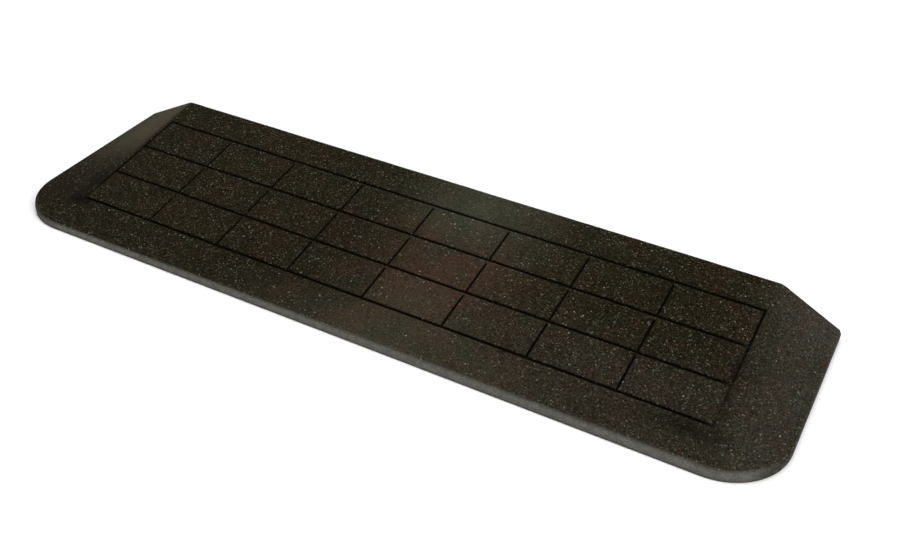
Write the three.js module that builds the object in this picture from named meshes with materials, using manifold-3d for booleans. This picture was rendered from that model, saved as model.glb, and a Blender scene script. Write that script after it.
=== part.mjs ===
// A rubber threshold ramp: a moulded wedge of black rubber crumb with a flecked wear course let
// into its top. +X runs along the sill, +Y runs up the slope to the sill, +Z is up, and the
// origin is the middle of the underside. Lengths are in millimetres.
import * as THREE from 'three';
import { mergeVertices } from 'three/addons/utils/BufferGeometryUtils.js';
import Module from 'manifold-3d';

// Driving dimensions.
const TILE_COLUMNS = 8;
const TILE_ROWS = 3;
const TILE_LENGTH = 114.3; // groove to groove along the sill
const TILE_WIDTH = 64; // groove to groove up the slope, in plan
const RIDGE_MARGIN = 5.8; // outermost grooves to the ridges where the wings start
const WING_WIDTH = 82;
const RUN = 305; // toe to heel
const TOE_BORDER = 59.5; // toe to the first groove
const HEEL_HEIGHT = 55;
const EDGE_HEIGHT = 12; // at the toe and along both side edges
const FRONT_CORNER_RADIUS = 80;
const REAR_CORNER_RADIUS = 1.5;
const NOSE_RADIUS = 8; // bullnose along the toe, and the width of the rim round the wear course
const SIDE_RADIUS = 2.5; // the same along the sides
const WEAR_THICKNESS = 6;
const GROOVE_WIDTH = 4; // of the long grooves
const CROSS_GROOVE_WIDTH = 3;
const GROOVE_DEPTH = 3;
const GROOVE_BRIDGE = 3; // rubber left between an inner cross groove and the long groove above
const FITTING_GAP = 0.3; // between the two courses
const CHANNEL_WIDTH = 12; // relief channels in the underside
const CHANNEL_DEPTH = 3.5;
const CHANNEL_TOE_LAND = 40; // toe to the channels' blind ends

// Fineness of the facets.
const NOSE_STEPS = 5;
const CORNER_STEPS = 8;
const REAR_CORNER_STEPS = 3;
const WING_STEPS = 4;

// Worked out from the driving dimensions.
const RIDGE_X = (TILE_COLUMNS * TILE_LENGTH) / 2 + RIDGE_MARGIN;
const HALF_WIDTH = RIDGE_X + WING_WIDTH;
const TOE_Y = -RUN / 2;
const HEEL_Y = RUN / 2;
const SLOPE = (HEEL_HEIGHT - EDGE_HEIGHT) / RUN;
const SLOPE_ANGLE = Math.atan(SLOPE);
const FIRST_GROOVE_Y = TOE_Y + TOE_BORDER;
const LAST_GROOVE_Y = FIRST_GROOVE_Y + TILE_ROWS * TILE_WIDTH;
const CUT_CLEARANCE = 10; // how far a cutting tool stands out of what it cuts

const wasm = await Module();
wasm.setup();

// Height of the unrounded top: a plane between the ridges, and wings that fall to a level edge.
function roofHeight(x, y) {
  const rise = (y - TOE_Y) * SLOPE;
  const share = THREE.MathUtils.clamp((HALF_WIDTH - Math.abs(x)) / WING_WIDTH, 0, 1);
  return EDGE_HEIGHT + rise * share;
}

// How wide the rim is at a place in the front corners, given in plan from the corner's centre. It
// narrows from the toe to the sides.
function cornerRim(outward, forward) {
  const length = Math.hypot(outward, forward);
  const side = FRONT_CORNER_RADIUS - SIDE_RADIUS;
  const toe = FRONT_CORNER_RADIUS - NOSE_RADIUS;
  const reach = 1 / Math.hypot(outward / length / side, forward / length / toe);
  return { distance: FRONT_CORNER_RADIUS - length, radius: FRONT_CORNER_RADIUS - reach };
}

// Distance in plan to the nearest of the toe, the sides and the front corners, and the bullnose's
// radius there.
function rimAt(x, y) {
  const outward = Math.abs(x) - (HALF_WIDTH - FRONT_CORNER_RADIUS);
  const forward = TOE_Y + FRONT_CORNER_RADIUS - y;
  if (outward > 0 && forward > 0) {
    return cornerRim(outward, forward);
  }
  const side = { distance: HALF_WIDTH - Math.abs(x), radius: SIDE_RADIUS };
  const toe = { distance: y - TOE_Y, radius: NOSE_RADIUS };
  return side.distance < toe.distance ? side : toe;
}

// Height of the top with its bullnose along the toe and the sides.
function nosedHeight(x, y) {
  const { distance, radius } = rimAt(x, y);
  const short = THREE.MathUtils.clamp(radius - distance, 0, radius);
  const drop = radius - Math.sqrt(radius ** 2 - short ** 2);
  return roofHeight(x, y) - drop;
}

// How far a round corner of the plan pulls the side in, at a given distance before its end. The
// corner measures `across` and `along`.
function cornerPull(across, along, distance) {
  const left = Math.max(along - distance, 0) / along;
  return across * (1 - Math.sqrt(Math.max(1 - left ** 2, 0)));
}

// Half the width of the plan, drawn in by an inset at the sides and another at the toe.
function halfWidthAt(y, { side, toe }) {
  const across = FRONT_CORNER_RADIUS - side;
  const front = cornerPull(across, FRONT_CORNER_RADIUS - toe, y - TOE_Y - toe);
  const rear = cornerPull(REAR_CORNER_RADIUS, REAR_CORNER_RADIUS, HEEL_Y - y);
  return HALF_WIDTH - side - front - rear;
}

// Distances from an edge that step evenly round a quarter circle of the given radius.
function arcDistances(radius, steps) {
  const turn = (step) => radius * (1 - Math.cos((step / steps) * (Math.PI / 2)));
  return Array.from({ length: steps }, (_, step) => turn(step + 1));
}

// Places up the slope where a course has a row of vertices.
function rowPlaces(toeInset, heelOverrun) {
  const toe = TOE_Y + toeInset;
  const nose = arcDistances(NOSE_RADIUS, NOSE_STEPS).map((distance) => toe + distance);
  const corner = arcDistances(FRONT_CORNER_RADIUS - toeInset, CORNER_STEPS)
    .filter((distance) => distance > NOSE_RADIUS)
    .map((distance) => toe + distance);
  const slope = [];
  for (let row = 1; row <= TILE_ROWS; row += 1) {
    slope.push(FIRST_GROOVE_Y + row * TILE_WIDTH);
  }
  const rear = arcDistances(REAR_CORNER_RADIUS, REAR_CORNER_STEPS)
    .map((distance) => HEEL_Y - distance)
    .reverse();
  const heel = heelOverrun > 0 ? [HEEL_Y, HEEL_Y + heelOverrun] : [HEEL_Y];
  return [toe, ...nose, ...corner, ...slope, ...rear, ...heel];
}

// Places across one half of a row: the tread, the ridge, the wing and the nose.
function halfRowPlaces(halfWidth) {
  const ridge = Math.min(RIDGE_X, halfWidth - 2 * NOSE_RADIUS);
  const treadSteps = TILE_COLUMNS / 2;
  const tread = Array.from({ length: treadSteps }, (_, step) => (ridge * (step + 1)) / treadSteps);
  const noseStart = halfWidth - NOSE_RADIUS;
  const wing = Array.from({ length: WING_STEPS }, (_, step) =>
    THREE.MathUtils.lerp(ridge, noseStart, (step + 1) / WING_STEPS));
  const nose = arcDistances(NOSE_RADIUS, NOSE_STEPS)
    .slice(0, -1)
    .reverse()
    .map((distance) => halfWidth - distance);
  return [...tread, ...wing, ...nose, halfWidth];
}

// A closed block between two height functions over the plan, drawn in by the insets. Its box's
// vertices are moved onto rows that follow the plan's outline.
function courseBlock({ inset, heelOverrun = 0, lower, upper }) {
  const rows = rowPlaces(inset.toe, heelOverrun);
  const across = halfRowPlaces(HALF_WIDTH).length;
  const bays = rows.length - 1;
  const geometry = new THREE.BoxGeometry(2 * across, bays, 1, 2 * across, bays, 1);
  const position = geometry.attributes.position;
  for (let index = 0; index < position.count; index += 1) {
    const column = Math.round(position.getX(index));
    const y = rows[Math.round(position.getY(index) + bays / 2)];
    const places = [0, ...halfRowPlaces(halfWidthAt(Math.min(y, HEEL_Y), inset))];
    const x = Math.sign(column) * places[Math.abs(column)];
    const height = position.getZ(index) > 0 ? upper(x, y) : lower(x, y);
    position.setXYZ(index, x, y, height);
  }
  return geometry;
}

function toSolid(geometry) {
  const bare = geometry.clone();
  bare.deleteAttribute('normal');
  bare.deleteAttribute('uv');
  const merged = mergeVertices(bare);
  const vertProperties = new Float32Array(merged.attributes.position.array);
  const triVerts = new Uint32Array(merged.index.array);
  return new wasm.Manifold(new wasm.Mesh({ numProp: 3, vertProperties, triVerts }));
}

function toGeometry(solid) {
  const mesh = solid.getMesh();
  const geometry = new THREE.BufferGeometry();
  geometry.setAttribute('position', new THREE.BufferAttribute(mesh.vertProperties, 3));
  geometry.setIndex(new THREE.BufferAttribute(mesh.triVerts, 1));
  return geometry;
}

// A box that cuts a groove into the tread, with its floor parallel to the slope.
function grooveCutter(x, y, lengthX, lengthY) {
  const height = GROOVE_DEPTH + CUT_CLEARANCE;
  const box = new THREE.BoxGeometry(lengthX, lengthY / Math.cos(SLOPE_ANGLE), height);
  box.translate(0, 0, CUT_CLEARANCE - height / 2);
  box.rotateX(SLOPE_ANGLE);
  box.translate(x, y, EDGE_HEIGHT + (y - TOE_Y) * SLOPE);
  return toSolid(box);
}

// The long grooves run along the sill, one at each edge of a row of tiles.
function longGrooves() {
  const length = TILE_COLUMNS * TILE_LENGTH + CROSS_GROOVE_WIDTH;
  return Array.from({ length: TILE_ROWS + 1 }, (_, line) =>
    grooveCutter(0, FIRST_GROOVE_Y + line * TILE_WIDTH, length, GROOVE_WIDTH));
}

// The cross grooves rise from one long groove. The outermost two lines reach the next one, and the
// others stop just short of it.
function crossGrooves() {
  const cutters = [];
  for (let row = 0; row < TILE_ROWS; row += 1) {
    for (let line = 0; line <= TILE_COLUMNS; line += 1) {
      const outermost = line === 0 || line === TILE_COLUMNS;
      const length = outermost ? TILE_WIDTH : TILE_WIDTH - GROOVE_WIDTH / 2 - GROOVE_BRIDGE;
      const x = (line - TILE_COLUMNS / 2) * TILE_LENGTH;
      const y = FIRST_GROOVE_Y + row * TILE_WIDTH + length / 2;
      cutters.push(grooveCutter(x, y, CROSS_GROOVE_WIDTH, length));
    }
  }
  return cutters;
}

// Channels up the underside, two under each column of tiles, open at the heel.
function channelCutters() {
  const length = RUN - CHANNEL_TOE_LAND + CUT_CLEARANCE;
  const height = CHANNEL_DEPTH + CUT_CLEARANCE;
  const pitch = TILE_LENGTH / 2;
  return Array.from({ length: 2 * TILE_COLUMNS }, (_, step) => {
    const box = new THREE.BoxGeometry(CHANNEL_WIDTH, length, height);
    const x = (step - TILE_COLUMNS + 0.5) * pitch;
    box.translate(x, HEEL_Y + CUT_CLEARANCE - length / 2, CHANNEL_DEPTH - height / 2);
    return toSolid(box);
  });
}

function cutAway(block, cutters) {
  return toGeometry(cutters.reduce((rest, cutter) => rest.subtract(cutter), toSolid(block)));
}

// The body of the ramp, with a pocket for the wear course and channels in its underside.
function baseCourse() {
  const body = courseBlock({ inset: { side: 0, toe: 0 }, lower: () => 0, upper: nosedHeight });
  const pocket = courseBlock({
    inset: { side: SIDE_RADIUS - FITTING_GAP, toe: NOSE_RADIUS - FITTING_GAP },
    heelOverrun: CUT_CLEARANCE,
    lower: (x, y) => roofHeight(x, y) - WEAR_THICKNESS - FITTING_GAP,
    upper: (x, y) => roofHeight(x, y) + CUT_CLEARANCE,
  });
  const material = new THREE.MeshStandardMaterial({ color: 0x23211d, roughness: 0.62, metalness: 0 });
  return namedMesh('base_course', cutAway(body, [toSolid(pocket), ...channelCutters()]), material);
}

// The flecked top layer, flush with the nose round it, with the tile pattern grooved into it.
function wearCourse() {
  const layer = courseBlock({
    inset: { side: SIDE_RADIUS, toe: NOSE_RADIUS },
    lower: (x, y) => roofHeight(x, y) - WEAR_THICKNESS,
    upper: roofHeight,
  });
  const material = new THREE.MeshStandardMaterial({ color: 0x38332a, roughness: 0.85, metalness: 0 });
  return namedMesh('wear_course', cutAway(layer, [...longGrooves(), ...crossGrooves()]), material);
}

function namedMesh(name, geometry, material) {
  const mesh = new THREE.Mesh(geometry, material);
  mesh.name = name;
  return mesh;
}

const ramp = new THREE.Group();
ramp.name = 'threshold_ramp';
ramp.add(baseCourse(), wearCourse());

export default ramp;
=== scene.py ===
import math

import bmesh
import bpy
import numpy as np
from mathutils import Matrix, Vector


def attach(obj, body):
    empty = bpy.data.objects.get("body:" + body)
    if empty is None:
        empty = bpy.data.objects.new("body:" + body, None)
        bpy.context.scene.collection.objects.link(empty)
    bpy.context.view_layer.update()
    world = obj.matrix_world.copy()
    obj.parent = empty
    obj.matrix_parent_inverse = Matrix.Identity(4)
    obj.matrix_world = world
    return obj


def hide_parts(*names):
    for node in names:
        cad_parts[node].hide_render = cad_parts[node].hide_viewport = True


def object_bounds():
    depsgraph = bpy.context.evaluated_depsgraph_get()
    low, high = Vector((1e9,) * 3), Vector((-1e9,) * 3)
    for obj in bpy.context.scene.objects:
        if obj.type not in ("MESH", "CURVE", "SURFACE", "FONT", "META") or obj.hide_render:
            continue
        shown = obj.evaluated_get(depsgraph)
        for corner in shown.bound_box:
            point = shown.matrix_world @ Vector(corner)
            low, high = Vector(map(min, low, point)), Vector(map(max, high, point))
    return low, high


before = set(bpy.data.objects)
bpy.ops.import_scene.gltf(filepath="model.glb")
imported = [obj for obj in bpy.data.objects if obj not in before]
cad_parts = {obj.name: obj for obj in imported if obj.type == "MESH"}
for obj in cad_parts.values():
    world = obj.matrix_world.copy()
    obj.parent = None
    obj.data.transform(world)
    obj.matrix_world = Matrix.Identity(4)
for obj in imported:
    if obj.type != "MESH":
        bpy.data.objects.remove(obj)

# A rubber threshold ramp. +X runs along the sill, +Y up the slope, +Z up. Lengths are in metres.
# The overall sizes come from the frame, and the rest are the same driving dimensions as the CAD's.
CAD_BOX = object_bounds()
HALF_WIDTH = CAD_BOX[1].x
TOE_Y = CAD_BOX[0].y
HEEL_Y = CAD_BOX[1].y
HEEL_HEIGHT = CAD_BOX[1].z

MM = 0.001
TILE_COLUMNS = 8
TILE_ROWS = 3
TILE_LENGTH = 114.3 * MM
TILE_WIDTH = 64 * MM
WING_WIDTH = 82 * MM
TOE_BORDER = 59.5 * MM
EDGE_HEIGHT = 12 * MM
FRONT_CORNER_RADIUS = 80 * MM
REAR_CORNER_RADIUS = 1.5 * MM
NOSE_RADIUS = 8 * MM
SIDE_RADIUS = 2.5 * MM
WEAR_THICKNESS = 6 * MM
GROOVE_WIDTH = 4 * MM
CROSS_GROOVE_WIDTH = 3 * MM
GROOVE_DEPTH = 3 * MM
GROOVE_BRIDGE = 3 * MM
CHANNEL_WIDTH = 12 * MM
CHANNEL_DEPTH = 3.5 * MM
CHANNEL_TOE_LAND = 40 * MM

RIDGE_X = HALF_WIDTH - WING_WIDTH
SLOPE = (HEEL_HEIGHT - EDGE_HEIGHT) / (HEEL_Y - TOE_Y)
FIRST_GROOVE_Y = TOE_Y + TOE_BORDER
LONG_GROOVES = [FIRST_GROOVE_Y + line * TILE_WIDTH for line in range(TILE_ROWS + 1)]
CROSS_GROOVES = [(line - TILE_COLUMNS / 2) * TILE_LENGTH for line in range(TILE_COLUMNS + 1)]
CHANNELS = [(step - TILE_COLUMNS + 0.5) * TILE_LENGTH / 2 for step in range(2 * TILE_COLUMNS)]

# Softness that the mould and years of use give the edges, which the CAD leaves out.
RIDGE_SOFTNESS = 0.05  # share of the wing over which the ridge rounds off
HEEL_LIP_RADIUS = 1.6 * MM
GROOVE_LIP = 0.4 * MM  # how far a groove's wall reaches out over the tread
GROOVE_WALL = 0.4 * MM  # and in over the groove
GROOVE_RAGGED = 0.22 * MM
FOOT_RADIUS = 0.6 * MM
CHANNEL_LIP = 0.6 * MM
CHANNEL_WALL = 1.5 * MM

# Unevenness of the moulding, and grain of the pressed crumb.
SLOW_WAVE = 0.35 * MM
QUICK_WAVE = 0.15 * MM
COARSE_GRAIN = 0.07 * MM
FINE_GRAIN = 0.09 * MM
UNDERSIDE_GRAIN = 0.25 * MM
HEEL_GRAIN = 0.18 * MM
HEEL_INSET = 0.2 * MM  # keeps the grained heel behind the CAD's face

# Where the mould has worn and the grooves come out shallower, as shares of their depth.
SIDE_GROOVE_LEAST = 0.28
LEFT_GROOVE_FULL = (1.0, 0.95)  # tile rows over which it deepens, and the share it reaches
RIGHT_GROOVE_FULL = (3.0, 0.8)
SIDE_GROOVE_RAGGED = 0.8
LONG_GROOVE_FADE = 0.55  # lost at the right ends of the long grooves, but for the one at the heel
LONG_GROOVE_FADE_LENGTH = 22 * MM

# A paler strip up the slope, a painted sheen. Its middle is the reddest.
SHEEN_STRIP_X = 68 * MM
SHEEN_STRIP_HALF_WIDTH = 95 * MM
SHEEN_STRIP_SPREAD = 1.6
RED_Y = -12 * MM
RED_REACH = 75 * MM

# The greener strip along the middle of the heel: where up the slope it sets in and is full, and
# how far it reaches to either side.
GREEN_Y = (40 * MM, 100 * MM)
GREEN_REACH = 230 * MM

# Dents near the corners of the tile pattern, their colour darkened with painted shade: x, y, reach along
# each in mm, and strength.
SHADED_DENTS = [(-468, -62, 9, 40, 0.7), (-460, -100, 20, 8, 0.8), (-495, -80, 50, 50, 0.3),
         (430, -108, 46, 11, 0.8), (457, -5, 7, 22, 0.65), (460, -62, 7, 30, 0.45)]
DENT_DEPTH = 0.5 * MM
DENT_RAGGED = 0.35

# The smooth-pressed tall end of the left wing, with a painted sheen in its colour: the share lost at
# the side edge, and where up the slope it sets in and is full.
POLISH_SHEEN_SIDE_LOSS = 0.45
POLISH_SHEEN_Y = (-30 * MM, 70 * MM)

# Painted light that makes the right wing and the toe by it paler: how strong, and where it sets in
# and is full. Along Y the toe's painted light is full at the first place and gone at the second.
WING_PAINTED_LIGHT = 0.7
WING_PAINTED_LIGHT_X = (-40 * MM, 60 * MM)  # from the ridge
TALL_END_PAINTED_LIGHT = 0.3
TALL_END_Y = (60 * MM, 140 * MM)
TOE_PAINTED_LIGHT = 0.3
TOE_PAINTED_LIGHT_X = (80 * MM, 280 * MM)
TOE_PAINTED_LIGHT_Y = (-70 * MM, 20 * MM)

# Painted highlights on the bullnose: where along the toe they start and end, how far in from the rim
# they reach, and over what height they set in.
NOSE_HIGHLIGHT_START_X = (-530 * MM, -450 * MM)
NOSE_HIGHLIGHT_END_X = (505 * MM, 540 * MM)
NOSE_HIGHLIGHT_REACH = 5 * MM
NOSE_HIGHLIGHT_REACH_GAIN = 2.2 * MM  # more at the right end, and less at the left end
NOSE_HIGHLIGHT_FULL = 0.5 * MM  # the part of the reach where they are full
NOSE_HIGHLIGHT_Z = (-1.0 * MM, 3.5 * MM)

# The studio. The world's white sweep darkens to the ceiling between two heights, and the floor
# comes to glow between two distances in metres.
SWEEP_TOP = (0.12, 0.5)
FLOOR_REACH = 9.0
FLOOR_GLOW = (1.6, 4.0)
FLOOR_DROP = 0.2 * MM  # below the ramp, so that the two don't share a plane

# Fineness of the meshes.
WEAR_STEP = 2.4 * MM
BASE_STEP = 4 * MM
NOSE_STEPS = 12
FOOT_STEPS = 4
FACE_MIDDLE = 2.2 * MM
CORNER_STEPS = 24
HEEL_LEVELS = 12
HIDDEN_ROWS = 9
HIDDEN_MARGIN = 4 * MM
TINY = 1e-6  # keeps a division clear of zero


# ---------------------------------------------------------------- shape of the ramp

def value_noise(x, y, cell, seed):
    """Smooth noise from -1 to 1 whose bumps are about one cell across."""
    span = 1.4
    count = int(span / cell) + 4
    table = np.random.default_rng(seed).uniform(-1, 1, (count, count))
    u = (x + span / 2) / cell
    v = (y + span / 2) / cell
    i = np.floor(u).astype(int)
    j = np.floor(v).astype(int)
    fu = (u - i) ** 2 * (3 - 2 * (u - i))
    fv = (v - j) ** 2 * (3 - 2 * (v - j))
    near = table[i, j] * (1 - fu) + table[i + 1, j] * fu
    far = table[i, j + 1] * (1 - fu) + table[i + 1, j + 1] * fu
    return near * (1 - fv) + far * fv


def smoothstep(low, high, value):
    share = np.clip((value - low) / (high - low), 0, 1)
    return share * share * (3 - 2 * share)


def soft_min(a, b, softness):
    share = np.clip(0.5 + 0.5 * (b - a) / softness, 0, 1)
    return b + (a - b) * share - softness * share * (1 - share)


def moulded_waves(x, y):
    """The slow unevenness of a big rubber moulding."""
    slow = value_noise(x, y, 160 * MM, 11)
    quick = value_noise(x, y, 45 * MM, 12)
    return SLOW_WAVE * slow + QUICK_WAVE * quick


def crumb_relief(x, y):
    """The grain of pressed crumb."""
    coarse = value_noise(x, y, 5.5 * MM, 21)
    fine = value_noise(x, y, 2.6 * MM, 22)
    return COARSE_GRAIN * coarse + FINE_GRAIN * fine


def rim_distance(x, y):
    """Distance in plan to the nearest of the toe, the sides and the front corners."""
    past = np.abs(x) - (HALF_WIDTH - FRONT_CORNER_RADIUS)
    before = TOE_Y + FRONT_CORNER_RADIUS - y
    straight = np.minimum(HALF_WIDTH - np.abs(x), y - TOE_Y)
    corner = FRONT_CORNER_RADIUS - np.hypot(np.maximum(past, 0), np.maximum(before, 0))
    return np.where((past > 0) & (before > 0), corner, straight)


def dent_share(x, y):
    """1 in the middle of a dent, whose colour is darkened with painted shade, falling raggedly to 0 round
    it.
    """
    ragged = 1 + DENT_RAGGED * value_noise(x, y, 4 * MM, 61)
    share = np.zeros_like(x)
    for dent_x, dent_y, across, along, strength in SHADED_DENTS:
        away = np.hypot((x / MM - dent_x) / across, (y / MM - dent_y) / along)
        share += strength * np.exp(-ragged * away ** 2)
    return np.minimum(share, 1)


def roof_height(x, y):
    """The top: a plane between the ridges, wings that fall to a level edge, and slow waves."""
    rise = (y - TOE_Y) * SLOPE
    share = soft_min((HALF_WIDTH - np.abs(x)) / WING_WIDTH, 1.0, RIDGE_SOFTNESS)
    heel = np.clip(HEEL_LIP_RADIUS - (HEEL_Y - y), 0, HEEL_LIP_RADIUS)
    lip = HEEL_LIP_RADIUS - np.sqrt(HEEL_LIP_RADIUS ** 2 - heel ** 2)
    calm = smoothstep(0, 40 * MM, rim_distance(x, y))
    uneven = moulded_waves(x, y) - DENT_DEPTH * dent_share(x, y)
    return EDGE_HEIGHT + rise * share + calm * uneven - lip


def rim_width(x, y):
    """Width of the bullnose: even along the toe and the sides, and changing round the corners."""
    past = np.maximum(np.abs(x) - (HALF_WIDTH - FRONT_CORNER_RADIUS), TINY)
    before = TOE_Y + FRONT_CORNER_RADIUS - y
    length = np.hypot(past, before)
    across = past / length / (FRONT_CORNER_RADIUS - SIDE_RADIUS)
    along = before / length / (FRONT_CORNER_RADIUS - NOSE_RADIUS)
    corner = FRONT_CORNER_RADIUS - 1 / np.hypot(across, along)
    straight = np.where(HALF_WIDTH - np.abs(x) < y - TOE_Y, SIDE_RADIUS, NOSE_RADIUS)
    return np.where((past > TINY) & (before > 0), corner, straight)


def seam_distance(x, y):
    """Distance in plan from the bullnose's inner edge, where the wear course starts."""
    return rim_distance(x, y) - rim_width(x, y)


def box_distance(x, y, centre_x, centre_y, half_x, half_y):
    """Signed distance in plan to a rectangle, below zero inside it."""
    dx = np.abs(x - centre_x) - half_x
    dy = np.abs(y - centre_y) - half_y
    outside = np.hypot(np.maximum(dx, 0), np.maximum(dy, 0))
    return outside + np.minimum(np.maximum(dx, dy), 0)


def side_groove_share(groove_x, y):
    """The outermost grooves die away raggedly towards the toe, where the mould's ridges do."""
    rows, fullest = LEFT_GROOVE_FULL if groove_x < 0 else RIGHT_GROOVE_FULL
    fade = smoothstep(FIRST_GROOVE_Y, FIRST_GROOVE_Y + rows * TILE_WIDTH, y)
    share = SIDE_GROOVE_LEAST + (fullest - SIDE_GROOVE_LEAST) * fade
    ragged = SIDE_GROOVE_RAGGED * share * (1 - share)
    return share + ragged * value_noise(np.zeros_like(y), y, 6 * MM, 32)


def groove_share(x, y):
    """1 in the bottom of a groove, 0 on the tread, and between on the groove's walls."""
    ragged = GROOVE_RAGGED * value_noise(x, y, 3.1 * MM, 31)
    half = GROOVE_WIDTH / 2
    cross_half = CROSS_GROOVE_WIDTH / 2
    deepest = np.zeros_like(x)
    half_length = TILE_COLUMNS * TILE_LENGTH / 2 + cross_half
    fade_start = half_length - LONG_GROOVE_FADE_LENGTH
    right_end = 1 - LONG_GROOVE_FADE * smoothstep(fade_start, half_length, x)
    for line, groove_y in enumerate(LONG_GROOVES):
        depth = 1.0 if line == TILE_ROWS else right_end
        distance = box_distance(x, y, 0, groove_y, half_length, half) + ragged
        deepest = np.maximum(deepest, depth * (1 - smoothstep(-GROOVE_WALL, GROOVE_LIP, distance)))
    inner_reach = (TILE_WIDTH - half - GROOVE_BRIDGE) / 2
    for groove_x in CROSS_GROOVES:
        outermost = abs(groove_x) > TILE_LENGTH * (TILE_COLUMNS - 1) / 2
        depth = side_groove_share(groove_x, y) if outermost else 1.0
        reach = TILE_WIDTH / 2 if outermost else inner_reach
        for groove_y in LONG_GROOVES[:-1]:
            distance = box_distance(x, y, groove_x, groove_y + reach, cross_half, reach) + ragged
            deepest = np.maximum(deepest, depth * (1 - smoothstep(-GROOVE_WALL, GROOVE_LIP, distance)))
    return deepest


def channel_height(x, y):
    """The underside: flat on the ground, with channels that are open at the heel."""
    height = np.zeros_like(x)
    centre_y = (TOE_Y + CHANNEL_TOE_LAND + HEEL_Y + CHANNEL_WIDTH) / 2
    half_length = (HEEL_Y + CHANNEL_WIDTH - TOE_Y - CHANNEL_TOE_LAND) / 2
    for channel_x in CHANNELS:
        distance = box_distance(x, y, channel_x, centre_y, CHANNEL_WIDTH / 2, half_length)
        height = np.maximum(height, 1 - smoothstep(-CHANNEL_WALL, CHANNEL_LIP, distance))
    return CHANNEL_DEPTH * height


def corner_pull(across, along, distance):
    """How far a round corner pulls the side in, at a distance before its end."""
    left = np.maximum(along - distance, 0) / along
    return across * (1 - np.sqrt(np.maximum(1 - left ** 2, 0)))


def half_width_at(y, margin=0.0):
    """Half the wear course's width in plan, drawn in by a margin."""
    across = FRONT_CORNER_RADIUS - SIDE_RADIUS - margin
    along = FRONT_CORNER_RADIUS - NOSE_RADIUS - margin
    front = corner_pull(across, along, y - TOE_Y - NOSE_RADIUS - margin)
    rear = corner_pull(REAR_CORNER_RADIUS, REAR_CORNER_RADIUS, HEEL_Y - y)
    return HALF_WIDTH - SIDE_RADIUS - margin - front - rear


# ---------------------------------------------------------------- mesh building

def spaced(start, end, step, marks):
    """Places from start to end: every mark, and an even spread where no mark is near."""
    marks = np.array(sorted(m for m in marks if start <= m <= end))
    even = np.linspace(start, end, int(round((end - start) / step)) + 1)
    clear = [p for p in even if np.min(np.abs(marks - p)) > 0.45 * step]
    return np.unique(np.round(np.concatenate([marks, clear]), 7))


def around(centres, offsets):
    return [centre + offset for centre in centres for offset in offsets]


def arc_rows(step):
    """Rows that step evenly round the front corners, for as long as they lie close together."""
    radius = FRONT_CORNER_RADIUS - NOSE_RADIUS
    turns = np.linspace(0, math.pi / 2, CORNER_STEPS + 1)
    rows = TOE_Y + NOSE_RADIUS + radius * (1 - np.cos(turns))
    close = np.diff(rows, append=rows[-1] + step) < step
    return list(rows[close])


def plan_grid(columns, rows):
    """Places in plan for every row and column, with the wings' columns bent to the outline."""
    tread = (TILE_COLUMNS * TILE_LENGTH + 2 * GROOVE_WIDTH) / 2
    u, y = np.meshgrid(columns, rows)
    widest = HALF_WIDTH - SIDE_RADIUS
    stretch = (half_width_at(y) - tread) / (widest - tread)
    past = np.maximum(np.abs(u) - tread, 0)
    return np.sign(u) * (np.minimum(np.abs(u), tread) + past * stretch), y


class MeshDraft:
    """Vertices and faces gathered from grids, loops and rings."""

    def __init__(self):
        self.points = []
        self.count = 0
        self.faces = []
        self.kinds = []

    def add(self, x, y, z):
        """Adds points and returns their numbers in the same shape."""
        x, y, z = np.broadcast_arrays(x, y, z)
        numbers = self.count + np.arange(x.size).reshape(x.shape)
        self.points.append(np.stack([x.ravel(), y.ravel(), z.ravel()], axis=1))
        self.count += x.size
        return numbers

    def sheet(self, numbers, kind=0):
        """Quads between neighbouring rows and columns of point numbers."""
        corners = [numbers[:-1, :-1], numbers[:-1, 1:], numbers[1:, 1:], numbers[1:, :-1]]
        quads = np.stack([corner.ravel() for corner in corners], axis=1)
        self.faces.extend(quads.tolist())
        self.kinds.extend([kind] * len(quads))

    def face(self, numbers, kind=0):
        self.faces.append([int(number) for number in numbers])
        self.kinds.append(kind)

    def build(self, name, materials):
        mesh = bpy.data.meshes.new(name)
        mesh.from_pydata(np.concatenate(self.points).tolist(), [], self.faces)
        for material in materials:
            mesh.materials.append(material)
        mesh.polygons.foreach_set("material_index", self.kinds)
        fixer = bmesh.new()
        fixer.from_mesh(mesh)
        bmesh.ops.recalc_face_normals(fixer, faces=fixer.faces)
        fixer.to_mesh(mesh)
        fixer.free()
        mesh.shade_smooth()
        mesh.set_sharp_from_angle(angle=math.radians(50))
        piece = bpy.data.objects.new(name, mesh)
        bpy.context.scene.collection.objects.link(piece)
        return piece


def rim_path(numbers):
    """Point numbers from the left end of the heel, along the toe, to the right end of the heel."""
    return np.concatenate([numbers[::-1, 0], numbers[0, 1:-1], numbers[:, -1]])


def heel_path(numbers):
    """Point numbers along the heel from right to left, without its ends."""
    return numbers[-1, 1:-1][::-1]


def hidden_sheet(draft, edge, edge_x, edge_y):
    """The coarse sheet where the courses meet: rows over wings and tread, stitched to a loop."""
    rows = np.linspace(TOE_Y + 3 * NOSE_RADIUS, HEEL_Y - HIDDEN_MARGIN, HIDDEN_ROWS)
    ridge = RIDGE_X - HIDDEN_MARGIN
    wing = half_width_at(rows, HIDDEN_MARGIN) - ridge
    right = [ridge + share * wing for share in (0.0, 0.5, 1.0)]
    x = np.stack([-column for column in reversed(right)] + right, axis=1)
    y = np.repeat(rows[:, None], x.shape[1], axis=1)
    numbers = draft.add(x, y, roof_height(x, y) - WEAR_THICKNESS)
    draft.sheet(numbers)
    inner = np.concatenate([rim_path(numbers), heel_path(numbers)])
    stitch_by_angle(draft, edge, edge_x, edge_y, inner, x, y, numbers)


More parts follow.
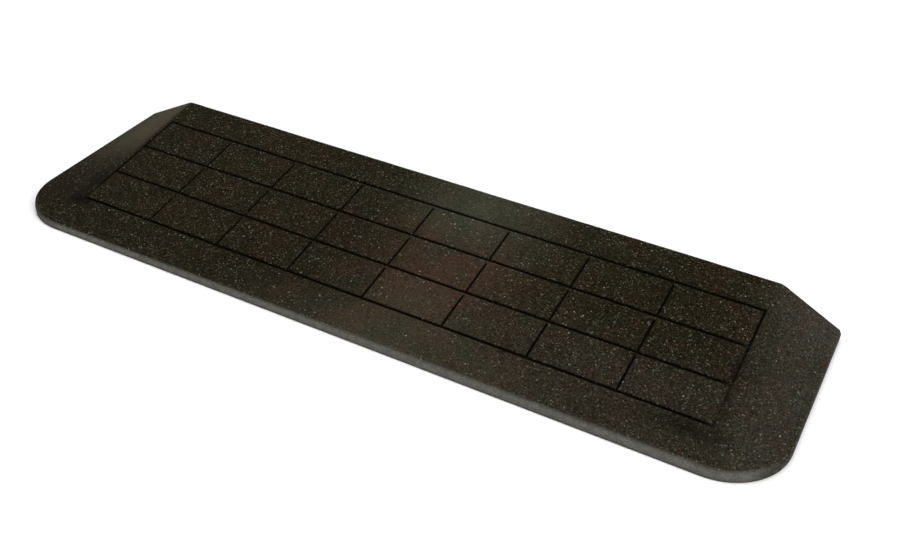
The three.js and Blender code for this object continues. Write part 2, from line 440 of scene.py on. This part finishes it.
def stitch_by_angle(draft, edge, edge_x, edge_y, inner, x, y, numbers):
    """Joins an outer loop to an inner one, each taken by its direction from the middle."""
    place = {int(n): (px, py) for n, px, py in zip(numbers.ravel(), x.ravel(), y.ravel())}
    inner_turn = np.array([perimeter_turn(*place[int(n)]) for n in inner])
    outer_turn = np.array([perimeter_turn(px, py) for px, py in zip(edge_x, edge_y)])
    outer = edge[np.argsort(outer_turn)]
    outer_turn = np.sort(outer_turn)
    inner = inner[np.argsort(inner_turn)]
    inner_turn = np.sort(inner_turn)
    i = j = 0
    while i < len(outer) or j < len(inner):
        a, b = outer[i % len(outer)], inner[j % len(inner)]
        next_outer = outer_turn[i + 1] if i + 1 < len(outer) else outer_turn[0] + 8
        next_inner = inner_turn[j + 1] if j + 1 < len(inner) else inner_turn[0] + 8
        if j == len(inner) or (i < len(outer) and next_outer <= next_inner):
            draft.face([a, outer[(i + 1) % len(outer)], b])
            i += 1
        else:
            draft.face([a, inner[(j + 1) % len(inner)], b])
            j += 1


def perimeter_turn(x, y):
    """Where a point's direction from the middle meets a rectangle's edge, from 0 to 8."""
    u = x / HALF_WIDTH
    v = y / HEEL_Y
    if abs(u) > abs(v):
        return 1 + v / abs(u) if u > 0 else 5 - v / abs(u)
    return 3 - u / abs(v) if v > 0 else 7 + u / abs(v)


def mark(piece, name, values):
    """Stores a number for every vertex, for the materials to read."""
    attribute = piece.data.attributes.new(name, "FLOAT", "POINT")
    attribute.data.foreach_set("value", np.asarray(values, np.float32))


def coordinates(piece):
    flat = np.zeros(len(piece.data.vertices) * 3)
    piece.data.vertices.foreach_get("co", flat)
    return flat.reshape(-1, 3).T


# ---------------------------------------------------------------- the two courses

def wear_course(material):
    """The flecked top layer, with the tile pattern grooved into it."""
    lip_places = np.array([-0.5, 0, 0.5, 1.4]) * MM
    long_places = GROOVE_WIDTH / 2 + lip_places
    cross_places = CROSS_GROOVE_WIDTH / 2 + lip_places
    lip_offsets = -HEEL_LIP_RADIUS * np.array([2, 1, 0.6, 0.3, 0.1, 0])
    bridge_y = [y - GROOVE_WIDTH / 2 - GROOVE_BRIDGE / 2 for y in LONG_GROOVES]
    start = TOE_Y + NOSE_RADIUS
    row_marks = (arc_rows(WEAR_STEP) + around(LONG_GROOVES, [*-long_places, 0, *long_places])
                 + bridge_y + around([HEEL_Y], lip_offsets) + [start])
    rows = spaced(start, HEEL_Y, WEAR_STEP, row_marks)
    widest = HALF_WIDTH - SIDE_RADIUS
    column_marks = around(CROSS_GROOVES, [*-cross_places, 0, *cross_places]) + [-widest, widest]
    columns = spaced(-widest, widest, WEAR_STEP, column_marks)
    x, y = plan_grid(columns, rows)
    draft = MeshDraft()
    groove = groove_share(x, y)
    inside = smoothstep(0, 3 * MM, seam_distance(x, y))
    relief = crumb_relief(x, y) * inside * (1 - 0.6 * groove)
    top = draft.add(x, y, roof_height(x, y) + relief - GROOVE_DEPTH * groove)
    draft.sheet(top)
    edge = np.concatenate([rim_path(top), heel_path(top)])
    edge_x, edge_y = x.ravel()[edge], y.ravel()[edge]
    levels = [edge]
    for share in (0.33, 0.66, 1.0):
        height = roof_height(edge_x, edge_y) - share * WEAR_THICKNESS
        levels.append(draft.add(edge_x, edge_y, height))
    walls = np.stack(levels)
    draft.sheet(np.concatenate([walls, walls[:, :1]], axis=1))
    hidden_sheet(draft, levels[-1], edge_x, edge_y)
    piece = draft.build("wear_course_rubber", [material])
    px, py, _ = coordinates(piece)
    mark(piece, "groove", groove_share(px, py))
    # This mark darkens the dents' colour with painted shade.
    mark(piece, "dent_shade", dent_share(px, py))
    # This mark also paints a sheen into the colour of the left wing's tall end.
    mark(piece, "polish_and_sheen", wing_polish_and_sheen(px, py))
    # This mark paints light into the colour, paling the right wing and the toe by it.
    mark(piece, "dust_and_painted_light", painted_light_share(px, py))
    return piece


def wing_polish_and_sheen(x, y):
    """The tall end of the left wing is pressed smooth, so it has hardly any flecks, and its colour is paler
    with a painted sheen.
    """
    beyond = -x - RIDGE_X
    thinner = POLISH_SHEEN_SIDE_LOSS * smoothstep(0.5, 1.0, beyond / WING_WIDTH)
    on_wing = smoothstep(-3 * MM, 5 * MM, beyond) * (1 - thinner)
    return on_wing * smoothstep(*POLISH_SHEEN_Y, y)


def painted_light_share(x, y):
    """Painted light: the right wing is painted paler than the tread, most of all at its tall end, and so is
    the toe by it.
    """
    on_wing = smoothstep(*WING_PAINTED_LIGHT_X, x - RIDGE_X)
    tall_end = TALL_END_PAINTED_LIGHT * smoothstep(*TALL_END_Y, y)
    near_toe = smoothstep(*TOE_PAINTED_LIGHT_X, x) * (1 - smoothstep(*TOE_PAINTED_LIGHT_Y, y))
    return np.maximum(on_wing * (WING_PAINTED_LIGHT + tall_end), TOE_PAINTED_LIGHT * near_toe)


def rim_normals(x, y):
    """Outward directions in plan at points of the line where the nose meets the top."""
    past = np.abs(x) - (HALF_WIDTH - FRONT_CORNER_RADIUS)
    before = TOE_Y + FRONT_CORNER_RADIUS - y
    on_corner = (past > 0) & (before > 0)
    on_side = (past > 0) & ~on_corner
    length = np.hypot(past, before)
    normal_x = np.where(on_corner, past / length, np.where(on_side, 1.0, 0.0)) * np.sign(x)
    normal_y = np.where(on_corner, -before / length, np.where(on_side, 0.0, -1.0))
    return normal_x, normal_y


def nose_rings(draft, x, y, foot, kind):
    """Rings along the toe and the sides, from the ground out and up over the bullnose."""
    normal_x, normal_y = rim_normals(x, y)
    width = rim_width(x, y)
    rings = [foot]
    for share in (0.25, 0.5):
        reach = width * share
        rings.append(draft.add(x + normal_x * reach, y + normal_y * reach, 0.0))
    for turn in np.linspace(0, math.pi / 2, FOOT_STEPS + 1):
        reach = width - FOOT_RADIUS * (1 - math.sin(turn))
        height = FOOT_RADIUS * (1 - math.cos(turn))
        rings.append(draft.add(x + normal_x * reach, y + normal_y * reach, height))
    rings.append(draft.add(x + normal_x * width, y + normal_y * width, FACE_MIDDLE))
    for turn in np.linspace(0, math.pi / 2, NOSE_STEPS + 1):
        reach = width * math.cos(turn)
        px, py = x + normal_x * reach, y + normal_y * reach
        rings.append(draft.add(px, py, roof_height(px, py) - width * (1 - math.sin(turn))))
    draft.sheet(np.stack(rings), kind)
    return rings


def base_course(body_material, nose_material):
    """The black body: channelled underside, bullnose, square heel and a pocket for the top layer."""
    start = TOE_Y + NOSE_RADIUS
    wall_offsets = np.array([-1.4, -0.6, 0, 0.8]) * MM
    wall_places = CHANNEL_WIDTH / 2 + wall_offsets
    blind_end = TOE_Y + CHANNEL_TOE_LAND
    row_marks = arc_rows(BASE_STEP) + [start, HEEL_Y] + around([blind_end], -wall_offsets)
    rows = spaced(start, HEEL_Y, BASE_STEP, row_marks)
    widest = HALF_WIDTH - SIDE_RADIUS
    column_marks = around(CHANNELS, [*-wall_places, 0, *wall_places]) + [-widest, widest]
    columns = spaced(-widest, widest, BASE_STEP, column_marks)
    x, y = plan_grid(columns, rows)
    draft = MeshDraft()
    inside = smoothstep(0, 6 * MM, np.minimum(seam_distance(x, y), HEEL_Y - y))
    grain = UNDERSIDE_GRAIN * np.abs(value_noise(x, y, 5 * MM, 41)) * inside
    underside = draft.add(x, y, channel_height(x, y) + grain)
    draft.sheet(underside)
    path = rim_path(underside)
    path_x, path_y = x.ravel()[path], y.ravel()[path]
    rings = nose_rings(draft, path_x, path_y, path, 1)
    pocket = draft.add(path_x, path_y, roof_height(path_x, path_y) - WEAR_THICKNESS)
    draft.sheet(np.stack([rings[-1], pocket]))
    heel = heel_wall(draft, x[-1], underside[-1], pocket)
    edge = np.concatenate([pocket, heel[-1, 1:-1][::-1]])
    edge_x = np.concatenate([path_x, x[-1, 1:-1][::-1]])
    edge_y = np.concatenate([path_y, y[-1, 1:-1][::-1]])
    hidden_sheet(draft, edge, edge_x, edge_y)
    for end in (0, -1):
        ring_end = [ring[end] for ring in rings]
        draft.face(ring_end + list(heel[::-1, end])[:-1], 1)
    piece = draft.build("base_course_rubber", [body_material, nose_material])
    px, py, pz = coordinates(piece)
    # This mark paints a highlight into the colour of the bullnose's face.
    mark(piece, "face", nose_highlight_share(px, py, pz))
    # This mark also paints a sheen into the colour of the left wing's tall end.
    mark(piece, "polish_and_sheen", wing_polish_and_sheen(px, py))
    # This mark paints light into the colour, paling the right wing and the toe by it.
    mark(piece, "dust_and_painted_light", painted_light_share(px, py))
    return piece


def nose_highlight_share(x, y, z):
    """Where a painted highlight greys the bullnose: along the toe and part of the way round the right
    corner.
    """
    along = smoothstep(*NOSE_HIGHLIGHT_START_X, x) * (1 - smoothstep(*NOSE_HIGHLIGHT_END_X, x))
    reach = NOSE_HIGHLIGHT_REACH + NOSE_HIGHLIGHT_REACH_GAIN * x / HALF_WIDTH
    fade = 1 - smoothstep(NOSE_HIGHLIGHT_FULL, reach, rim_distance(x, y))
    return along * fade * smoothstep(*NOSE_HIGHLIGHT_Z, z)


def heel_wall(draft, x, bottom, pocket):
    """The square back face, in levels from the underside to the floor of the pocket."""
    floor = roof_height(x, np.full_like(x, HEEL_Y)) - WEAR_THICKNESS
    foot = channel_height(x, np.full_like(x, HEEL_Y))
    levels = [bottom]
    for level in range(1, HEEL_LEVELS):
        z = foot + (floor - foot) * level / HEEL_LEVELS
        grain = HEEL_GRAIN * value_noise(x, z, 3 * MM, 51)
        grain[[0, -1]] = 0
        levels.append(draft.add(x, HEEL_Y - HEEL_INSET + grain, z))
    top = draft.add(x[1:-1], np.full_like(x[1:-1], HEEL_Y), floor[1:-1])
    levels.append(np.concatenate([pocket[:1], top, pocket[-1:]]))
    wall = np.stack(levels)
    draft.sheet(wall)
    return wall


# ---------------------------------------------------------------- materials

def new_material(name):
    material = bpy.data.materials.new(name)
    material.use_nodes = True
    tree = material.node_tree
    shader = tree.nodes["Principled BSDF"]
    return material, tree, shader


def node(tree, kind, inputs=None, **settings):
    made = tree.nodes.new(kind)
    for key, value in settings.items():
        setattr(made, key, value)
    for key, value in (inputs or {}).items():
        if isinstance(value, bpy.types.NodeSocket):
            tree.links.new(value, made.inputs[key])
        else:
            made.inputs[key].default_value = value
    return made


def math_node(tree, operation, a, b=0.0, clamp=False):
    return node(tree, "ShaderNodeMath", {0: a, 1: b}, operation=operation, use_clamp=clamp).outputs[0]


def mix_colour(tree, share, a, b, blend="MIX"):
    made = node(tree, "ShaderNodeMix", {0: share, 6: a, 7: b}, data_type="RGBA", blend_type=blend)
    return made.outputs[2]


def map_range(tree, value, low, high, to_low=0.0, to_high=1.0):
    inputs = {0: value, 1: low, 2: high, 3: to_low, 4: to_high}
    return node(tree, "ShaderNodeMapRange", inputs).outputs[0]


def noise(tree, place, size, detail=2.0):
    inputs = {"Vector": place, "Scale": 1 / size, "Detail": detail}
    return node(tree, "ShaderNodeTexNoise", inputs).outputs[0]


def crumbs(tree, place, size):
    """Cells like pressed crumb: how far from the cell's middle, and a random colour per cell."""
    inputs = {"Vector": place, "Scale": 1 / size}
    cells = node(tree, "ShaderNodeTexVoronoi", inputs)
    return cells.outputs["Distance"], cells.outputs["Color"]


def channel(tree, colour, which):
    return node(tree, "ShaderNodeSeparateColor", {0: colour}).outputs[which]


def attribute(tree, name):
    return node(tree, "ShaderNodeAttribute", attribute_name=name).outputs["Fac"]


def rgb(red, green, blue):
    return (red, green, blue, 1.0)


def crumb_colour(tree, place, dark, light, size=1.7 * MM):
    """Rubber in which every crumb has its own shade."""
    _, tint = crumbs(tree, place, size)
    return mix_colour(tree, channel(tree, tint, 0), dark, light)


def mottled(tree, place, colour):
    """Slow olive and rust patches in a colour."""
    olive, rust = rgb(0.93, 1.02, 0.99), rgb(1.16, 0.97, 0.98)
    hue = mix_colour(tree, map_range(tree, noise(tree, place, 38 * MM, 3.0), 0.38, 0.62), olive, rust)
    shade = map_range(tree, noise(tree, place, 70 * MM, 2.0), 0.35, 0.65, 0.88, 1.12)
    tinted = mix_colour(tree, 1.0, colour, hue, "MULTIPLY")
    return mix_colour(tree, 1.0, tinted, grey(tree, shade), "MULTIPLY")


def greener_heel(tree, place, colour):
    """Turns a colour greener and a little paler along the middle of the heel."""
    split = node(tree, "ShaderNodeSeparateXYZ", {0: place})
    heelward = map_range(tree, split.outputs["Y"], *GREEN_Y)
    share = math_node(tree, "MULTIPLY", heelward, bell(tree, split.outputs["X"], SHEEN_STRIP_X, GREEN_REACH))
    return mix_colour(tree, share, colour, rgb(1.06, 1.24, 1.28), "MULTIPLY")


def fleck_layer(tree, place, ground, size, share, tones):
    """Scatters chips of the given size and tones over a ground colour."""
    _, tint = crumbs(tree, place, size)
    chosen = math_node(tree, "LESS_THAN", channel(tree, tint, 0), share)
    ramp = node(tree, "ShaderNodeValToRGB", {0: channel(tree, tint, 1)})
    ramp.color_ramp.interpolation = "CONSTANT"
    stops = ramp.color_ramp.elements
    stops[0].color = tones[0]
    stops[1].position = 1 / len(tones)
    stops[1].color = tones[1]
    for step, tone in enumerate(tones[2:], start=2):
        stops.new(step / len(tones)).color = tone
    brightness = map_range(tree, channel(tree, tint, 2), 0.0, 1.0, 0.45, 1.2)
    toned = mix_colour(tree, 1.0, ramp.outputs[0], grey(tree, brightness), "MULTIPLY")
    return mix_colour(tree, chosen, ground, toned)


def grey(tree, value):
    return node(tree, "ShaderNodeCombineColor", {0: value, 1: value, 2: value}).outputs[0]


PALE = rgb(0.115, 0.107, 0.080)
TAN = rgb(0.058, 0.046, 0.027)
RUST = rgb(0.050, 0.022, 0.014)
MOSS = rgb(0.024, 0.034, 0.019)
ASH = rgb(0.052, 0.050, 0.041)
CHALK = rgb(0.25, 0.24, 0.205)


def bell(tree, value, middle, reach):
    """1 at the middle, falling smoothly to nothing about two reaches away."""
    ratio = math_node(tree, "DIVIDE", math_node(tree, "SUBTRACT", value, middle), reach)
    squared = math_node(tree, "MULTIPLY", ratio, ratio)
    return math_node(tree, "POWER", math.e, math_node(tree, "MULTIPLY", squared, -1.0))


def sheen_strip_ground(tree, place, crumbed, ground):
    """A paler strip up the slope, a painted sheen. It spreads out at the toe."""
    split = node(tree, "ShaderNodeSeparateXYZ", {0: place})
    half_width = map_range(tree, split.outputs["Y"], FIRST_GROOVE_Y, TOE_Y + TOE_BORDER / 2,
                           SHEEN_STRIP_HALF_WIDTH, SHEEN_STRIP_SPREAD * SHEEN_STRIP_HALF_WIDTH)
    brown = crumb_colour(tree, crumbed, rgb(0.019, 0.0170, 0.0095), rgb(0.042, 0.0395, 0.0255))
    red = crumb_colour(tree, crumbed, rgb(0.020, 0.0115, 0.0065), rgb(0.047, 0.0310, 0.0200))
    sheened = mix_colour(tree, bell(tree, split.outputs["Y"], RED_Y, RED_REACH), brown, red)
    return mix_colour(tree, bell(tree, split.outputs["X"], SHEEN_STRIP_X, half_width), ground, sheened)


def flecked_colour(tree, place):
    """Black-brown crumb with pale, tan, rust and green flecks, and the place they are drawn at."""
    inputs = {"Vector": place, "Scale": 1 / (1.3 * MM), "Detail": 1.0}
    stirred = node(tree, "ShaderNodeTexNoise", inputs)
    pushed = node(tree, "ShaderNodeVectorMath", {0: stirred.outputs["Color"], "Scale": 0.9 * MM},
                  operation="SCALE").outputs[0]
    ragged = node(tree, "ShaderNodeVectorMath", {0: place, 1: pushed}, operation="ADD").outputs[0]
    plain = crumb_colour(tree, ragged, rgb(0.0018, 0.0012, 0.0002), rgb(0.0195, 0.0160, 0.0062))
    # Painted sheen: a paler, redder strip up the slope.
    sheened = sheen_strip_ground(tree, place, ragged, plain)
    # Painted light: this paler crumb tone pales the right wing and the toe by it.
    dusty_and_lit = crumb_colour(tree, ragged, rgb(0.015, 0.0135, 0.0100), rgb(0.048, 0.0435, 0.0345))
    polish_and_sheen = attribute(tree, "polish_and_sheen")
    # Painted sheen: the smooth-pressed end of the left wing gets this paler tone.
    pressed_and_sheen = crumb_colour(tree, ragged, rgb(0.029, 0.0240, 0.0115), rgb(0.042, 0.0350, 0.0175))
    dust_and_painted_light = attribute(tree, "dust_and_painted_light")
    ground = mix_colour(tree, dust_and_painted_light, sheened, dusty_and_lit)
    ground = mottled(tree, place, mix_colour(tree, polish_and_sheen, ground, pressed_and_sheen))
    ground = greener_heel(tree, place, ground)
    many = map_range(tree, dust_and_painted_light, 0.0, 1.0, 0.09, 0.2)
    fine = fleck_layer(tree, ragged, ground, 1.3 * MM, many, [TAN, ASH, RUST, MOSS, TAN, PALE])
    few = map_range(tree, dust_and_painted_light, 0.0, 1.0, 0.03, 0.05)
    medium = fleck_layer(tree, ragged, fine, 1.6 * MM, few, [ASH, TAN, PALE, RUST])
    bright = fleck_layer(tree, ragged, medium, 1.4 * MM, 0.003, [CHALK, PALE])
    return mix_colour(tree, polish_and_sheen, bright, ground), ragged


def flecked_rubber():
    """The wear course: matt flecked crumb, with painted shade that makes the grooves black and the dents
    darker.
    """
    material, tree, shader = new_material("flecked_crumb_rubber")
    place = node(tree, "ShaderNodeTexCoord").outputs["Object"]
    flecked, ragged = flecked_colour(tree, place)
    # Painted shade: the dents are multiplied darker.
    dent_shaded = mix_colour(tree, attribute(tree, "dent_shade"), flecked, rgb(0.22, 0.19, 0.16), "MULTIPLY")
    # Painted shade: the grooves are painted near black.
    groove_shade_share = map_range(tree, attribute(tree, "groove"), 0.15, 0.65)
    groove_shaded = mix_colour(tree, groove_shade_share, dent_shaded, rgb(0.0022, 0.0018, 0.0012))
    tree.links.new(groove_shaded, shader.inputs["Base Color"])
    distance, _ = crumbs(tree, ragged, 2.4 * MM)
    fine_grain = noise(tree, place, 0.8 * MM, 3.0)
    height = math_node(tree, "ADD", math_node(tree, "MULTIPLY", distance, -0.6), fine_grain)
    bump = node(tree, "ShaderNodeBump", {"Strength": 0.5, "Distance": 0.3 * MM, "Height": height})
    tree.links.new(bump.outputs[0], shader.inputs["Normal"])
    rough = map_range(tree, fine_grain, 0.3, 0.7, 0.65, 0.85)
    smoother = math_node(tree, "MULTIPLY", attribute(tree, "polish_and_sheen"), 0.1)
    tree.links.new(math_node(tree, "SUBTRACT", rough, smoother), shader.inputs["Roughness"])
    shader.inputs["Specular IOR Level"].default_value = 0.04
    return material


def body_rubber():
    """The base course's heel and underside: coarse black crumb without flecks."""
    material, tree, shader = new_material("black_crumb_rubber")
    place = node(tree, "ShaderNodeTexCoord").outputs["Object"]
    colour = crumb_colour(tree, place, rgb(0.009, 0.0085, 0.008), rgb(0.024, 0.0225, 0.020))
    dusty_and_lit = noise(tree, place, 30 * MM, 4.0)
    dust_and_painted_light = map_range(tree, dusty_and_lit, 0.5, 0.8, 0.0, 0.35)
    dusted = mix_colour(tree, dust_and_painted_light, colour, rgb(0.055, 0.05, 0.042))
    tree.links.new(dusted, shader.inputs["Base Color"])
    distance, _ = crumbs(tree, place, 2.8 * MM)
    grain = noise(tree, place, 0.9 * MM, 3.0)
    height = math_node(tree, "ADD", math_node(tree, "MULTIPLY", distance, -0.9), grain)
    bump = node(tree, "ShaderNodeBump", {"Strength": 0.7, "Distance": 0.5 * MM, "Height": height})
    tree.links.new(bump.outputs[0], shader.inputs["Normal"])
    tree.links.new(map_range(tree, grain, 0.3, 0.7, 0.6, 0.85), shader.inputs["Roughness"])
    shader.inputs["Specular IOR Level"].default_value = 0.35
    return material


def nose_rubber():
    """The bullnose: the same flecked crumb, with a painted highlight that greys its face."""
    material, tree, shader = new_material("nose_rubber_painted_highlight")
    place = node(tree, "ShaderNodeTexCoord").outputs["Object"]
    flecked, _ = flecked_colour(tree, place)
    nose_mottle = noise(tree, place, 9 * MM, 5.0)
    # Painted highlight: a pale grey on the bullnose's face.
    highlight_grey = crumb_colour(tree, place, rgb(0.092, 0.089, 0.077), rgb(0.136, 0.132, 0.116))
    shade = grey(tree, map_range(tree, nose_mottle, 0.3, 0.7, 0.85, 1.2))
    highlighted = mix_colour(tree, 1.0, highlight_grey, shade, "MULTIPLY")
    tree.links.new(mix_colour(tree, attribute(tree, "face"), flecked, highlighted), shader.inputs["Base Color"])
    grain = noise(tree, place, 1.4 * MM, 3.0)
    bump = node(tree, "ShaderNodeBump", {"Strength": 0.3, "Distance": 0.3 * MM, "Height": grain})
    tree.links.new(bump.outputs[0], shader.inputs["Normal"])
    tree.links.new(map_range(tree, nose_mottle, 0.3, 0.7, 0.5, 0.7), shader.inputs["Roughness"])
    shader.inputs["Specular IOR Level"].default_value = 0.06
    return material


# ---------------------------------------------------------------- studio

def aim(thing, place, target):
    thing.location = place
    thing.rotation_mode = "QUATERNION"
    thing.rotation_quaternion = (Vector(target) - Vector(place)).to_track_quat("-Z", "Y")


def soft_light(name, place, target, size, power):
    lamp = bpy.data.lights.new(name, "AREA")
    lamp.shape = "RECTANGLE"
    lamp.size, lamp.size_y = size
    lamp.energy = power
    light = bpy.data.objects.new(name, lamp)
    bpy.context.scene.collection.objects.link(light)
    aim(light, place, target)


def pale_floor():
    """A large level floor under the ramp, just off white. It glows where the softboxes fall short."""
    mesh = bpy.data.meshes.new("studio_floor")
    corners = [(-FLOOR_REACH, -FLOOR_REACH, 0), (FLOOR_REACH, -FLOOR_REACH, 0),
               (FLOOR_REACH, FLOOR_REACH, 0), (-FLOOR_REACH, FLOOR_REACH, 0)]
    mesh.from_pydata(corners, [], [(0, 1, 2, 3)])
    floor = bpy.data.objects.new("studio_floor", mesh)
    bpy.context.scene.collection.objects.link(floor)
    floor.location.z = -FLOOR_DROP
    material, tree, shader = new_material("studio_floor")
    place = node(tree, "ShaderNodeTexCoord").outputs["Object"]
    mottle = noise(tree, place, 1.5)
    tone = mix_colour(tree, mottle, rgb(0.92, 0.92, 0.92), rgb(0.95, 0.95, 0.95))
    tree.links.new(tone, shader.inputs["Base Color"])
    away = node(tree, "ShaderNodeVectorMath", {0: place}, operation="LENGTH").outputs["Value"]
    glow = map_range(tree, away, *FLOOR_GLOW, 0.0, 0.9)
    shader.inputs["Emission Color"].default_value = rgb(1.0, 1.0, 1.0)
    tree.links.new(glow, shader.inputs["Emission Strength"])
    shader.inputs["Roughness"].default_value = 0.9
    mesh.materials.append(material)


def sweep_world():
    """A white sweep round the horizon under a darker ceiling."""
    world = bpy.data.worlds.new("studio")
    world.use_nodes = True
    tree = world.node_tree
    direction = node(tree, "ShaderNodeTexCoord").outputs["Generated"]
    height = node(tree, "ShaderNodeSeparateXYZ", {0: direction}).outputs["Z"]
    share = map_range(tree, height, *SWEEP_TOP)
    colour = mix_colour(tree, share, rgb(1.0, 0.995, 0.98), rgb(0.12, 0.12, 0.12))
    tree.links.new(colour, tree.nodes["Background"].inputs[0])
    tree.nodes["Background"].inputs[1].default_value = 1.0
    bpy.context.scene.world = world


def studio():
    sweep_world()
    pale_floor()
    soft_light("key_softbox", (3.2, -0.2, 3.0), (0.1, 0.2, 0), (2.0, 2.0), 93)
    soft_light("top_softbox", (0.0, 0.3, 4.2), (0, 0.3, 0), (2.6, 2.6), 106)
    soft_light("left_softbox", (-3.4, 0.2, 2.4), (0, 0.2, 0), (1.6, 1.6), 36)
    bpy.context.scene.view_settings.view_transform = "Standard"


def photo_camera():
    """Seen from the front right, nearly a metre and a half away, with a normal lens."""
    azimuth, elevation, roll = map(math.radians, (27.85, 37.49, 1.156))
    back = Vector((math.sin(azimuth) * math.cos(elevation),
                   -math.cos(azimuth) * math.cos(elevation), math.sin(elevation)))
    lens = bpy.data.cameras.new("camera")
    lens.sensor_width = 36
    lens.lens = 44.04
    camera = bpy.data.objects.new("camera", lens)
    bpy.context.scene.collection.objects.link(camera)
    camera.location = (0.6034, -0.9966, 0.8835)
    camera.rotation_euler = back.to_track_quat("Z", "Y").to_euler()
    camera.rotation_euler.rotate_axis("Z", roll)
    bpy.context.scene.camera = camera


photo_camera()
studio()
wear = wear_course(flecked_rubber())
base = base_course(body_rubber(), nose_rubber())
for piece, cad_node, slot in ((wear, "wear_course", "flecked_crumb_rubber"),
                              (base, "base_course", "black_crumb_rubber")):
    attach(piece, "root")
    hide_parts(cad_node)
